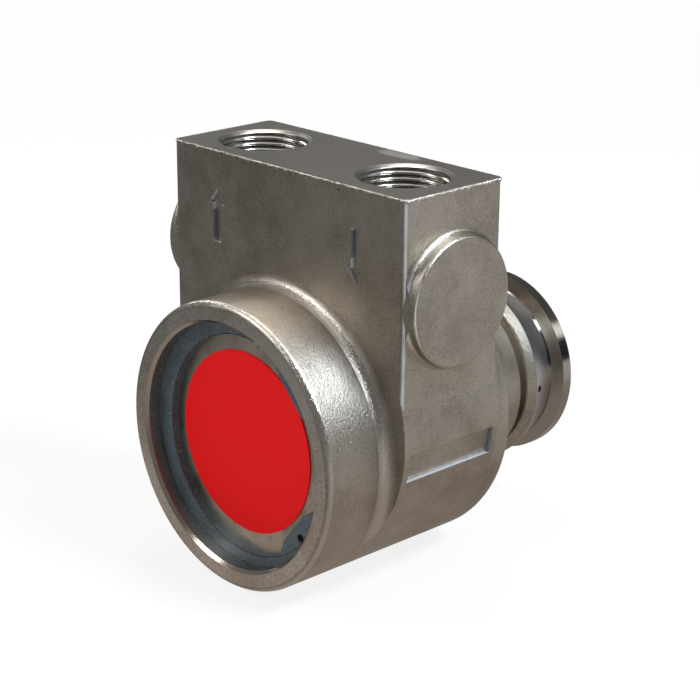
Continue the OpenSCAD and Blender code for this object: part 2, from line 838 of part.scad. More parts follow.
// The collar on the shaft that the spring pushes from
module spring_collar() {
    color("silver") ring(coil_r + wire_d, shaft_r + slip, collar_front, collar_front + collar_t);
}

// Ball bearing: two races, a ring of balls in their cage, and a thin shield on each side
module bearing_outer_race() {
    color("silver") about_shaft() difference() {
        translate([pitch_r + race_gap, brg_y]) square([brg_ro - slip - pitch_r - race_gap, brg_b]);
        translate([pitch_r, brg_mid]) circle(ball_r + run);
        for (y = [brg_y - end, brg_end - shield_t - shield_in])
            translate([pitch_r, y]) square([shield_r + slip - pitch_r, shield_t + shield_in + end]);
    }
}

module bearing_inner_race() {
    color("silver") about_shaft() difference() {
        translate([seat_r, brg_y]) square([pitch_r - race_gap - seat_r, brg_b]);
        translate([pitch_r, brg_mid]) circle(ball_r + run);
    }
}

module at_balls() {
    for (i = [0 : ball_count - 1]) rotate([0, i * 360 / ball_count, 0])
        translate([pitch_r, brg_mid, 0]) children();
}

module bearing_balls() {
    color("gainsboro") at_balls() sphere(ball_r);
}

module bearing_cage() {
    half = ball_r + cage_edge;
    color("goldenrod") difference() {
        ring(pitch_r + race_gap / 2, pitch_r - race_gap / 2, brg_mid - half, brg_mid + half);
        at_balls() rotate([0, 90, 0]) cylinder(r = ball_r + 2 * run, h = 2 * race_gap, center = true);
    }
}

module bearing_shields() {
    color("dimgray") for (y = [brg_y + shield_in, brg_end - shield_in - shield_t])
        ring(shield_r, pitch_r - race_gap + free, y, y + shield_t);
}

// Snap ring that holds the ball bearing in the housing
module bearing_snap_ring() {
    color("slategray") along_y(brg_end, brg_end + snap_t) rotate(-90)
        inner_ring_outline(brg_ro + snap_groove - slip, brg_ro / cap_bore_r);
}

// Snap ring that holds the shaft in the ball bearing: a thin open ring with lugs outside
module shaft_snap_ring() {
    color("slategray") along_y(brg_end, brg_end + clip_t) rotate(90) difference() {
        union() {
            translate([-clip_shift, 0]) circle(seat_r + clip_w);
            at_lugs() circle(clip_lug_r);
        }
        circle(seat_r - clip_groove + slip);
        polygon([
            [0, 0],
            [2 * seat_r, 2 * seat_r * tan(clip_gap_angle)],
            [2 * seat_r, -2 * seat_r * tan(clip_gap_angle)]
        ]);
        at_lugs() circle(clip_hole_r);
    }
    module at_lugs() {
        for (side = [-1, 1]) rotate(side * clip_lug_angle) translate([seat_r + clip_w, 0]) children();
    }
}

housing();
end_cap();
end_cap_o_ring();
label();
retaining_ring();
front_bearing();
liner();
rear_bearing();
alignment_dowel();
rotor();
vane(0);  // vane_1
vane(1);  // vane_2
vane(2);  // vane_3
vane(3);  // vane_4
vane(4);  // vane_5
vane(5);  // vane_6
shaft();
spring_collar();
seal_spring();
seal_bellows();
seal_face();
seal_seat();
seat_cup();
bearing_outer_race();
bearing_inner_race();
bearing_balls();
bearing_cage();
bearing_shields();
bearing_snap_ring();
shaft_snap_ring();
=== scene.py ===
import math

import bpy
import numpy as np
from mathutils import Matrix, Vector


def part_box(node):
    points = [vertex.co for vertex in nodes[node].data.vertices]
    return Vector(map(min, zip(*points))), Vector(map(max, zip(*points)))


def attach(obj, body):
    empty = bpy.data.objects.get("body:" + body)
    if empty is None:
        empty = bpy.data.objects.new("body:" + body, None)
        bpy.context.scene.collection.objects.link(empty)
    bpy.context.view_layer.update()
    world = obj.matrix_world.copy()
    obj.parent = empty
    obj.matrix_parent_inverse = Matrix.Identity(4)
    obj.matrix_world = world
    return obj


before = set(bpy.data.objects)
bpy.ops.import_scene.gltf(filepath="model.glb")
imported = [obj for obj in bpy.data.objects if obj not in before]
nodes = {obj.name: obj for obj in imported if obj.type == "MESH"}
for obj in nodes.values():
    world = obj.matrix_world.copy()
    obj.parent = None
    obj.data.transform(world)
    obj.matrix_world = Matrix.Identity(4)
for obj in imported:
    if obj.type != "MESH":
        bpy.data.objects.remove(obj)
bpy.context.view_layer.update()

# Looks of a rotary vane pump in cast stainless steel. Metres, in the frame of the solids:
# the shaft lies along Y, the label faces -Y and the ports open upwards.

MM = 0.001

# Places of the real part that the finishes and the new pieces need
BLOCK_LOW = Vector((-47.5, -93.3, 7.6)) * MM
BLOCK_HIGH = Vector((47.5, -56.1, 77.2)) * MM
BLOCK_CORNER = 1.5 * MM
PORT_X = 28.65 * MM
PORT_Y = (BLOCK_LOW.y + BLOCK_HIGH.y) / 2
PORT_R = 13.3 * MM
PORT_MOUTH_R = 13.85 * MM
DRUM_R = 42.3 * MM
MOUTH_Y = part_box("housing")[0].y
BORE_R = 36 * MM
REAR_BORE_R = 21 * MM
LAND_Y = -6.3 * MM
RIDGE_Y = -15.3 * MM
NECK_Y = -38.8 * MM
BOSS_X = 48 * MM
RING_EDGE_X, RING_EDGE_Z, RING_EDGE_R = 2.3 * MM, 0.08 * MM, 32.3 * MM

# Places of the flow arrows, the sunk side panel, the painted highlight on the front corner and the rub
# on the top
MARK_DEPTH = 1.1 * MM
ARROW_HALF_W = 4 * MM
ARROW_LOW_Z, ARROW_HIGH_Z = 48 * MM, 68 * MM
LEFT_STEM_Z = (50.8 * MM, 59.4 * MM)
RIGHT_STEM_Z = (57.2 * MM, 65.0 * MM)
PANEL_X, PANEL_HALF_L = 35 * MM, 17 * MM
PANEL_Z, PANEL_HALF_H, PANEL_BORDER = 1.6 * MM, 4.5 * MM, 1 * MM
PANEL_FOOT_Z = -2.4 * MM
PANEL_BACK_Y = -45 * MM
CORNER_X, CORNER_DEPTH, CORNER_LOW_Z = 44 * MM, 3 * MM, 12 * MM
RUB_X, RUB_Y = 10.5 * MM, -59.0 * MM
RUB_HALF_L, RUB_HALF_W = 9 * MM, 3.2 * MM

# The port's thread: one ridge, and the lip above it as a section of radius and height
THREAD_PITCH = 25.4 / 14 * MM
THREAD_HEIGHT = 1.15 * MM
THREAD_START = 1.15 * MM
THREAD_TURNS = 8.2
THREAD_TAPER = 32
STEPS_PER_TURN = 120
LIP_SECTION = np.array([(13.4, -0.26), (12.55, -0.71), (12.5, -0.8), (13.4, -1.3)]) * MM
LIP_STEPS = 144
BURR_STEPS = 1100

# Softboxes: name, azimuth and elevation in degrees, distance, width and height, watts, colour.
# The azimuth goes from the back, +Y, over the right, +X.
LAMPS = [
    ("side_softbox", 74, 49, 1.1, 0.34, 0.20, 14.0, (0.80, 0.90, 1.0)),
    ("top_softbox", -50, 67, 1.1, 0.30, 0.30, 3.6, (1.0, 0.92, 0.84)),
    ("left_softbox", -84, 30, 1.1, 0.25, 0.35, 1.4, (1.0, 1.0, 1.0)),
    ("front_softbox", -148, 38, 1.1, 0.34, 0.34, 3.3, (1.0, 0.98, 0.95)),
]
LAMP_AIM = Vector((0, -0.06, 0.02))
AMBIENT = 0.22

# The floor: white to the camera, less so near the part, where its shadow shows
FLOOR_SIZE = 6.0
FLOOR_PAPER = 0.93
WHITENESS = 0.85
SHADOW_RADII = (0.3, 1.2)

# The studio bowl: a profile of radius and height, the greys that the metal sees in its zones,
# and where one zone passes into the next
BOWL_PROFILE = np.array([
    (0.02, 0.0), (0.6, 0.0), (1.42, 0.0), (1.5, 0.08), (1.5, 0.95), (1.2, 1.5), (0.9, 1.68)])
BOWL_STEPS = 48
BOWL_LIFT = 0.0004
FRONT_GREY, BACK_GREY, HORIZON_GREY, FLOOR_GREY, TOP_GREY = 0.19, 0.14, 0.035, 0.70, 0.12
NEAR_GREY, GLINT_GREY = 0.40, 2.6
NEAR_TINT = (1.0, 0.87, 0.79, 1.0)
GLINT_AIM = (0.604, 0.648, 0.462)
GLINT_CONE = (0.985, 0.995)
NEAR_RADII = (0.08, 0.26)
FLOOR_TO_WALL = (-0.045, -0.015)
WALL_TO_TOP = (0.9, 1.1)
DARK_TO_HIGH = (0.35, 0.62)
LOW_TURN, HIGH_TURN, DARK_TURN = (-0.14, 0.10), (-0.5, 1.0), (-0.15, 0.25)

# The photograph's camera, fitted to the part's edges
CAMERA_AT = Vector((390.69, -442.56, 206.24)) * MM
CAMERA_RIGHT = Vector((0.69075618, 0.72304586, 0.00778323))
CAMERA_UP = Vector((-0.24236679, 0.22137515, 0.94459059))
CAMERA_SENSOR, CAMERA_LENS = 36.0, 100.54
CAMERA_CLIP = (0.01, 50.0)


# Shader maths

class Value:
    """A shader number or vector. Arithmetic on it adds Math nodes to its material."""

    def __init__(self, shader, socket):
        self.shader, self.socket = shader, socket

    def _math(self, operation, *values):
        return self.shader.math(operation, *values)

    def __add__(self, other):
        return self._math("ADD", self, other)

    def __sub__(self, other):
        return self._math("SUBTRACT", self, other)

    def __mul__(self, other):
        return self._math("MULTIPLY", self, other)

    def __truediv__(self, other):
        return self._math("DIVIDE", self, other)

    def __pow__(self, other):
        return self._math("POWER", self, other)

    def __rsub__(self, other):
        return self._math("SUBTRACT", other, self)

    def __gt__(self, other):
        return self._math("GREATER_THAN", self, other)

    def __lt__(self, other):
        return self._math("LESS_THAN", self, other)

    def __or__(self, other):
        return self._math("MAXIMUM", self, other)

    def __abs__(self):
        return self._math("ABSOLUTE", self)

    __radd__ = __add__
    __rmul__ = __mul__


class Shader:
    """The nodes of one material or of the world."""

    def __init__(self, owner):
        owner.use_nodes = True
        self.tree = owner.node_tree
        self.tree.nodes.clear()

    def add(self, kind, settings=None, inputs=None, output=0):
        """Adds a node: its settings first, then its sockets' values or links. Returns one output."""
        node = self.tree.nodes.new(kind)
        for name, value in (settings or {}).items():
            setattr(node, name, value)
        for key, value in (inputs or {}).items():
            if isinstance(value, Value):
                self.tree.links.new(value.socket, node.inputs[key])
            else:
                node.inputs[key].default_value = value
        return Value(self, node.outputs[output]) if len(node.outputs) else node

    def math(self, operation, *values):
        return self.add("ShaderNodeMath", {"operation": operation}, dict(enumerate(values)))

    def vector(self, operation, *values, output=0):
        inputs = dict(enumerate(values))
        return self.add("ShaderNodeVectorMath", {"operation": operation}, inputs, output)

    def dot(self, first, second):
        return self.vector("DOT_PRODUCT", first, second, output="Value")

    def stretch(self, vector, scale):
        """A vector or colour times another, or times one number."""
        return self.vector("MULTIPLY", vector, scale)

    def mix(self, factor, low, high):
        """A colour between low and high."""
        return self.add("ShaderNodeMix", {"data_type": "RGBA"}, {0: factor, 6: low, 7: high}, 2)

    def blend(self, factor, low, high):
        """A number between low and high."""
        return self.add("ShaderNodeMix", {"data_type": "FLOAT"}, {0: factor, 2: low, 3: high})

    def step(self, value, low, high):
        """0 below low, 1 above high, smooth between them."""
        return self.add("ShaderNodeMapRange", {"interpolation_type": "SMOOTHSTEP"},
                        {0: value, 1: low, 2: high, 3: 0.0, 4: 1.0})

    def here(self):
        """The object's own coordinates."""
        return self.add("ShaderNodeTexCoord", output="Object")

    def normal(self):
        return self.add("ShaderNodeNewGeometry", output="Normal")

    def parts(self, vector):
        """The three numbers of a vector."""
        first = self.add("ShaderNodeSeparateXYZ", None, {0: vector})
        return [Value(self, socket) for socket in first.socket.node.outputs]

    def noise(self, vector, scale, detail=2.0, roughness=0.5, distortion=0.0):
        inputs = {"Vector": vector, "Scale": scale, "Detail": detail,
                  "Roughness": roughness, "Distortion": distortion}
        return self.add("ShaderNodeTexNoise", None, inputs)

    def cells(self, vector, scale):
        """Distance to the nearest of many scattered points."""
        return self.add("ShaderNodeTexVoronoi", None, {"Vector": vector, "Scale": scale})

    def bump(self, height, distance):
        """A normal that leans as the height changes."""
        inputs = {"Height": height, "Distance": distance, "Strength": 1.0}
        return self.add("ShaderNodeBump", None, inputs)

    def edge(self, radius):
        """0 on flats, and more on sharp edges: how far the rounded normal leaves the true one."""
        soft = self.add("ShaderNodeBevel", {"samples": 6}, {"Radius": radius})
        return 1 - self.dot(soft, self.normal())


def grey(level):
    return (level, level, level, 1.0)


def tone(red, green, blue):
    return (red, green, blue, 1.0)


def finish(name, build, metallic=1.0, **constants):
    """A material whose varying inputs build() returns as {input name: value}."""
    material = bpy.data.materials.new(name)
    shader = Shader(material)
    inputs = {"Metallic": metallic, **constants, **build(shader)}
    surface = shader.add("ShaderNodeBsdfPrincipled", None, inputs)
    shader.add("ShaderNodeOutputMaterial", None, {"Surface": surface})
    return material


def radius_about(first, second, first_centre=0.0, second_centre=0.0):
    """Distance from a line that is parallel to an axis."""
    a, b = first - first_centre, second - second_centre
    return (a * a + b * b) ** 0.5


def between(value, low, high):
    """1 where the value lies between low and high, else 0."""
    return (value > low) * (value < high)


# Finishes

CAST_DARK = tone(0.335, 0.295, 0.248)
CAST_LIGHT = tone(0.475, 0.430, 0.372)
# Painted highlight for the skin's crests and round edges, and painted shade for its hollows
CAST_PAINTED_GLINT = tone(0.66, 0.62, 0.565)
CAST_PAINTED_HOLLOW_SHADE = tone(0.20, 0.17, 0.14)
CAST_PIT = tone(0.05, 0.045, 0.04)
CUT_FLAT = tone(0.305, 0.295, 0.275)
CUT_FLANGE = tone(0.37, 0.345, 0.315)
CUT_COLLAR = tone(0.50, 0.495, 0.485)
CUT_BRIGHT = tone(0.60, 0.575, 0.54)
BORE_CUT = tone(0.52, 0.45, 0.39)
RING_FACE = tone(0.44, 0.40, 0.345)
RING_GLINT = tone(0.70, 0.66, 0.60)
RUBBED = tone(0.74, 0.73, 0.71)
# Painted highlight for the block's front-right corner
CORNER_PAINTED_HIGHLIGHT = tone(0.80, 0.84, 0.88)
# Painted light for the marks' walls, and painted shade for some of them
MARK_WALL_PAINTED_LIGHT = tone(0.74, 0.76, 0.80)
MARK_SHADE = tone(0.27, 0.30, 0.35)


def cut_masks(from_shaft, from_port, y, z, ny, nz):
    """Where the casting is cut: top, ports, front face, bores, flange and rear collar."""
    top = (z > BLOCK_HIGH.z - 0.1 * MM) * (nz > 0.5)
    port = (from_port < PORT_MOUTH_R + 0.05 * MM) * (z > 20 * MM)
    front_face = (y < MOUTH_Y + 0.03 * MM) * (ny < -0.9)
    front_bore = (from_shaft < BORE_R + 1.6 * MM) * (y < BLOCK_LOW.y)
    rear_bore = (from_shaft < REAR_BORE_R) * (y > NECK_Y)
    bore = front_bore * (1 - front_face) | rear_bore
    flange = (y > LAND_Y) * (from_shaft > REAR_BORE_R)
    collar = between(y, RIDGE_Y, LAND_Y) * (from_shaft > REAR_BORE_R)
    return top, port, front_face, bore, flange, collar


def mark_masks(x, y, z, nx, ny):
    """Where the arrows and the side panel lie, where their walls take painted light, and the walls that
    take painted shade.
    """
    on_arrow = (abs(abs(x) - PORT_X) < ARROW_HALF_W) * (z > ARROW_LOW_Z)
    on_arrow = on_arrow * (y < BLOCK_LOW.y + MARK_DEPTH + 0.1 * MM)
    arrow_wall = on_arrow * (y > BLOCK_LOW.y - 0.2 * MM) * (ny > -0.5) * (z < ARROW_HIGH_Z)

    beside_panel, off_panel = x > PANEL_X, abs(z - PANEL_Z)
    marked = on_arrow | beside_panel * (off_panel < PANEL_HALF_H + PANEL_BORDER) * (y < PANEL_BACK_Y)
    panel_wall = beside_panel * (abs(y - PORT_Y) < PANEL_HALF_L)
    panel_wall = panel_wall * (off_panel < PANEL_HALF_H) * (nx < 0.5)

    stem = (x < 0.0) * between(z, *LEFT_STEM_Z) | (x > 0.0) * between(z, *RIGHT_STEM_Z)
    shaded = arrow_wall * stem | panel_wall * (z > PANEL_FOOT_Z)
    return marked, arrow_wall | panel_wall, shaded


def turning(s, part):
    """1 where a surface turns from facing along an axis to facing away from it."""
    return s.step(abs(part), 0.12, 0.45) * s.step(abs(part), 0.96, 0.75)


def rounded_edges(s, from_shaft, x, y, nx, ny):
    """The round edges of the drum's mouth and of the side bosses, which handling has polished and which
    take a painted highlight.
    """
    lip = turning(s, ny) * (y < BLOCK_LOW.y + 2 * MM)
    lip = lip * (from_shaft > BORE_R + 1 * MM) * (from_shaft < DRUM_R + 2.5 * MM)
    return lip | turning(s, nx) * (abs(x) > BOSS_X) * (y < BLOCK_HIGH.y)


def cast_skin(s, cloud, blotch, peel, grain):
    """Bare cast steel: brown blotches, with painted glints on the crests of its orange peel and painted
    shade in its hollows.
    """
    skin = s.mix(s.step(cloud * 0.6 + blotch * 0.4, 0.38, 0.62), CAST_DARK, CAST_LIGHT)
    # Painted glints on the peel's crests, then painted shade in its hollows
    skin = s.mix(s.step(peel * 0.5 + grain * 0.5, 0.50, 0.68) * 0.6, skin, CAST_PAINTED_GLINT)
    return s.mix(s.step(peel, 0.50, 0.30) * 0.4, skin, CAST_PAINTED_HOLLOW_SHADE)


def cast_and_machined(s):
    """Cast skin with blotches, grain and orange peel, and machined faces by where they lie."""
    at = s.here()
    x, y, z = s.parts(at)
    nx, ny, nz = s.parts(s.normal())
    from_shaft = radius_about(x, z)
    from_port = radius_about(abs(x), y, PORT_X, PORT_Y)
    cloud = s.noise(at, 26.0, 3.0)
    blotch = s.noise(at, 110.0, 3.0, 0.6)
    peel = s.noise(at, 1500.0, 4.0, 0.62, 0.8)
    grain = s.noise(at, 3400.0, 2.0, 0.6)

    top, port, front_face, bore, flange, collar = cut_masks(from_shaft, from_port, y, z, ny, nz)
    machined = bore | flange | collar | top | port | front_face
    marked, walls_painted_light, shaded = mark_masks(x, y, z, nx, ny)
    polished_highlit_edge = rounded_edges(s, from_shaft, x, y, nx, ny)
    # Painted highlight: a light line down the block's front-right corner, where light glints on the edge
    corner = s.step(nx * ny * -1.0, 0.36, 0.49) * (x > CORNER_X)
    corner = corner * (y < BLOCK_LOW.y + CORNER_DEPTH) * (z > CORNER_LOW_Z)
    worn = s.step(s.edge(0.55 * MM), 0.01, 0.12) * (1 - (machined | marked))
    pit = 1 - s.step(s.cells(at, 75.0), 0.018, 0.034)
    across, along = (x - RUB_X) / RUB_HALF_L, (y - RUB_Y) / RUB_HALF_W
    rub = top * (1 - s.step(across * across + along * along + blotch * 1.2 - 0.6, 0.1, 1.1))

    skin = cast_skin(s, cloud, blotch, peel, grain)
    # Painted highlight on the polished round edges
    skin = s.mix(polished_highlit_edge * 0.7, skin, CAST_PAINTED_GLINT)
    skin = s.mix(worn * 0.75, skin, CUT_BRIGHT)
    skin = s.mix(pit * 0.7, skin, CAST_PIT)
    ring = s.mix(s.step(cloud * 0.5 + peel * 0.5, 0.40, 0.62), RING_FACE, RING_GLINT)
    shade = s.mix(top | port, skin, CUT_FLAT)
    shade = s.mix(rub * (0.35 + s.noise(at, 300.0, 2.0) * 0.8), shade, RUBBED)
    shade = s.mix(front_face, shade, ring)
    shade = s.mix(bore, shade, BORE_CUT)
    shade = s.mix(flange, shade, CUT_FLANGE)
    shade = s.mix(collar, shade, CUT_COLLAR)
    # Painted highlight on the front-right corner
    shade = s.mix(corner * (0.1 + blotch * 1.0), shade, CORNER_PAINTED_HIGHLIGHT)
    # Painted light on the walls of the arrows and the panel, then painted shade on some of them
    shade = s.mix(walls_painted_light, shade, MARK_WALL_PAINTED_LIGHT)
    shade = s.mix(shaded, shade, MARK_SHADE)

    rough = 0.28 + blotch * 0.10 + peel * 0.12 - worn * 0.12 - polished_highlit_edge * 0.16
    rough = s.blend(top | port, rough, 0.36 + cloud * 0.08)
    rough = s.blend(front_face, rough, 0.24 + blotch * 0.2)
    rough = s.blend(bore, rough, 0.19)
    rough = s.blend(flange, rough, 0.13)
    rough = s.blend(collar, rough, 0.33)
    rough = s.blend(walls_painted_light | corner, rough, 0.28)

    turned = s.math("SINE", (y * 9.0 + from_shaft * 11.0) * 1500.0)
    cast_height = grain * 0.35 + peel * 0.95 + blotch * 1.0 - pit * 1.2
    height = s.blend(machined, cast_height, turned * 0.02 + grain * 0.03)
    return {"Base Color": shade, "Roughness": rough, "Metallic": 1 - walls_painted_light * 0.6 - corner * 0.3,
            "Normal": s.bump(height, 0.13 * MM)}


def turned_cap(s):
    """A turned face with clouds, dark scuffs and fine rings about the shaft."""
    at = s.here()
    x, _, z = s.parts(at)
    cloud = s.noise(at, 70.0, 3.0)
    mark = s.step(s.noise(s.stretch(at, (1.0, 1.0, 0.5)), 500.0, 3.0, 0.7), 0.6, 0.72)
    lines = s.math("SINE", radius_about(x, z) * 26000.0)
    shade = s.mix(s.step(cloud, 0.35, 0.65), tone(0.40, 0.35, 0.29), tone(0.64, 0.57, 0.49))
    shade = s.mix(mark * 0.6, shade, tone(0.12, 0.10, 0.085))
    return {"Base Color": shade, "Roughness": 0.3 + cloud * 0.14 + mark * 0.1,
            "Normal": s.bump(lines * 0.4 + cloud, 0.01 * MM)}


def phosphated(s):
    """Blue-grey skin with pale flecks. The ring's inner edge, off the shaft's axis, is torn, and a band
    of painted shade darkens it.
    """
    at = s.here()
    x, _, z = s.parts(at)
    cloud = s.noise(at, 180.0, 4.0, 0.6)
    speck = s.step(s.noise(at, 1400.0, 2.0), 0.58, 0.7)
    torn = s.noise(at, 900.0, 3.0, 0.7)
    from_edge = radius_about(x, z, RING_EDGE_X, RING_EDGE_Z) - RING_EDGE_R
    # Painted shade: a ragged dark band along the ring's inner edge, for the shadow of its gap
    gap_shade = 1 - s.step(from_edge + (0.5 - torn) * 1.4 * MM, 0.08 * MM, 0.35 * MM)
    gap_shade = gap_shade * (from_edge > 0.01 * MM)
    shade = s.mix(cloud, tone(0.085, 0.125, 0.155), tone(0.20, 0.25, 0.285))
    shade = s.mix(speck * 0.55, shade, tone(0.42, 0.47, 0.50))
    shade = s.mix(gap_shade * 0.9, shade, tone(0.02, 0.02, 0.022))
    return {"Base Color": shade, "Roughness": 0.42 + cloud * 0.16,
            "Normal": s.bump(cloud + speck * 0.5 + torn * 0.4, 0.10 * MM)}


def printed_red(s):
    """Plain red print, faintly mottled."""
    mottle = s.noise(s.here(), 900.0, 2.0)
    shade = s.mix(mottle, tone(0.75, 0.004, 0.005), tone(0.82, 0.006, 0.007))
    return {"Base Color": shade, "Roughness": 0.34 + mottle * 0.06,
            "Normal": s.bump(mottle, 0.004 * MM)}


def cut_metal(s):
    """Freshly cut steel with faint stains, as on the thread."""
    at = s.here()
    stain = s.noise(at, 260.0, 3.0)
    shade = s.mix(stain, tone(0.62, 0.60, 0.565), tone(0.78, 0.76, 0.72))
    return {"Base Color": shade, "Roughness": 0.15 + stain * 0.08,
            "Normal": s.bump(s.noise(at, 3000.0), 0.01 * MM)}


def torn_metal(s):
    """Steel torn by the mill, bright and dark by turns, as on the burr."""
    tear = s.noise(s.here(), 1500.0, 3.0, 0.7)
    shade = s.mix(s.step(tear, 0.4, 0.62), tone(0.40, 0.36, 0.32), tone(0.86, 0.81, 0.75))
    return {"Base Color": shade, "Roughness": 0.22 + tear * 0.2, "Normal": s.bump(tear, 0.35 * MM)}


def plain(low, high, scale, rough, grain):
    """A finish that wanders between two tones, with a fine grain."""
    def build(s):
        at = s.here()
        cloud = s.noise(at, scale, 3.0)
        return {"Base Color": s.mix(cloud, low, high), "Roughness": rough + cloud * 0.1,
                "Normal": s.bump(s.noise(at, 2500.0), grain)}
    return build


# Plain finishes: how metallic, the two tones, scale of the clouds, roughness, depth of the grain
PLAIN = {
    "bright_steel": (1.0, tone(0.50, 0.49, 0.47), tone(0.60, 0.59, 0.57), 200, 0.12, 0.004 * MM),
    "shield_steel": (1.0, tone(0.40, 0.39, 0.38), tone(0.50, 0.49, 0.48), 200, 0.25, 0.01 * MM),
    "rubber": (0.0, tone(0.02, 0.02, 0.02), tone(0.04, 0.04, 0.04), 200, 0.5, 0.02 * MM),
    "carbon": (0.0, tone(0.035, 0.035, 0.037), tone(0.07, 0.07, 0.072), 300, 0.35, 0.02 * MM),
    "ceramic": (0.0, tone(0.78, 0.76, 0.70), tone(0.84, 0.82, 0.77), 200, 0.2, 0.005 * MM),
    "cage_nylon": (0.0, tone(0.50, 0.40, 0.20), tone(0.58, 0.47, 0.26), 200, 0.4, 0.01 * MM),
    "port_lip": (1.0, tone(0.36, 0.35, 0.33), tone(0.46, 0.45, 0.43), 260, 0.27, 0.01 * MM),
}

FINISHES = {
    "cast_stainless": finish("cast_stainless", cast_and_machined),
    "machined_stainless": finish("machined_stainless", turned_cap),
    "phosphated_steel": finish("phosphated_steel", phosphated, 0.75),
    "label_red": finish("label_red", printed_red, 0.0, **{"Specular IOR Level": 0.06}),
    "cut_thread": finish("cut_thread", cut_metal),
    "burr": finish("burr", torn_metal),
    **{name: finish(name, plain(*looks), metallic) for name, (metallic, *looks) in PLAIN.items()},
}


def dress_nodes():
    """Every solid keeps its shape and takes the finish of its own material slot."""
    for node in nodes.values():
        slot = node.data.materials[0].name.split(".")[0]
        node.data.materials[0] = FINISHES[slot]


# New pieces

def grid_quads(rows, columns, rows_close=False, columns_close=True):
    """Quads of a grid of points whose rows, columns or both close into a ring."""
    last_row = 0 if rows_close else 1
    last_column = 0 if columns_close else 1
    i, j = np.meshgrid(np.arange(rows - last_row), np.arange(columns - last_column), indexing="ij")
    n, k = (i + 1) % rows, (j + 1) % columns
    corners = [i * columns + j, i * columns + k, n * columns + k, n * columns + j]
    return np.stack(corners, -1).reshape(-1, 4)


def mesh_object(name, points, faces, material):
    """A new object at the origin, with one mesh of one material."""
    mesh = bpy.data.meshes.new(name)
    mesh.from_pydata(points, [], faces)
    mesh.materials.append(material)
    thing = bpy.data.objects.new(name, mesh)
    bpy.context.scene.collection.objects.link(thing)
    return thing


def add_piece(name, points, faces, body, material, sharp_angle=40):
    """A smooth piece of the part, with creases where its faces meet at more than the angle."""
    points = points.reshape(-1, 3).tolist()
    piece = mesh_object(name, points, [list(map(int, face)) for face in faces], material)
    mesh = piece.data
    mesh.validate()
    mesh.polygons.foreach_set("use_smooth", np.ones(len(mesh.polygons), bool))
    mesh.set_sharp_from_angle(angle=math.radians(sharp_angle))
    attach(piece, body)


def pipe_thread(name, x):
    """A helical ridge on the port's wall, below a countersunk lip.

    The ridge: at turn t it lies t pitches below its start, and leans in by a 32nd of its depth. Its
    section is one arch of a cosine nearly as wide as the pitch, whose height fades over a third of
    a turn at either end, with a flat back behind the wall. The lip: a ring whose section goes on
    with the port's countersink, then turns back.
    """
    turn = np.linspace(0, THREAD_TURNS, round(THREAD_TURNS * STEPS_PER_TURN) + 1)
    fade = np.clip(np.minimum(turn, THREAD_TURNS - turn) / 0.33, 0.02, 1)
    across = np.linspace(1, -1, 9)
    along = np.append(across, [-1, 1]) * 0.49 * THREAD_PITCH
    inward = np.append(np.cos(across * np.pi / 2), [-0.12, -0.12])
    depth = (THREAD_START + THREAD_PITCH * turn)[:, None]
    height = THREAD_HEIGHT * np.where(inward > 0.01, fade[:, None], 1)
    radius = PORT_R - height * inward - depth / THREAD_TAPER
    angle = 2 * np.pi * turn[:, None]
    ridge = np.stack([x + radius * np.cos(angle), PORT_Y - radius * np.sin(angle),
                      BLOCK_HIGH.z - depth + along], -1)
    rows, count = len(turn), len(along)
    faces = [*grid_quads(rows, count), range(count)[::-1], range((rows - 1) * count, rows * count)]
    add_piece(name, ridge, faces, "pump_body", FINISHES["cut_thread"], 75)

    radius, height = LIP_SECTION.T
    angle = np.linspace(0, 2 * np.pi, LIP_STEPS, endpoint=False)[:, None]
    lip = np.stack([x + radius * np.cos(angle), PORT_Y + radius * np.sin(angle),
                    BLOCK_HIGH.z + height + 0 * angle], -1)
    faces = grid_quads(LIP_STEPS, len(LIP_SECTION), True)[:, ::-1]
    add_piece(name + "_lip", lip, faces, "pump_body", FINISHES["port_lip"], 30)


def top_outline():
    """The block's top, a rectangle with round corners, as even steps.

    Returns the distance of each step along the outline, the outline's length, and each step's
    place and outward direction.
    """
    half = (BLOCK_HIGH - BLOCK_LOW) / 2
    turn = np.linspace(0, np.pi / 2, 7)
    sides = []
    for quarter, (sx, sy) in enumerate([(1, 1), (-1, 1), (-1, -1), (1, -1)]):
        angle = turn + quarter * np.pi / 2
        corner = np.array([sx * (half.x - BLOCK_CORNER), sy * (half.y - BLOCK_CORNER)])
        sides.append(corner + BLOCK_CORNER * np.stack([np.cos(angle), np.sin(angle)], -1))
    outline = np.concatenate(sides)
    closed = np.vstack([outline, outline[:1]])
    run = np.concatenate([[0], np.cumsum(np.linalg.norm(np.diff(closed, axis=0), axis=1))])
    distance = np.linspace(0, run[-1], BURR_STEPS, endpoint=False)
    line = np.stack([np.interp(distance, run, closed[:, axis]) for axis in (0, 1)], -1)
    ahead = np.roll(line, -1, 0) - np.roll(line, 1, 0)
    out = np.stack([ahead[:, 1], -ahead[:, 0]], -1) / np.linalg.norm(ahead, axis=1)[:, None]
    return distance, run[-1], line, out


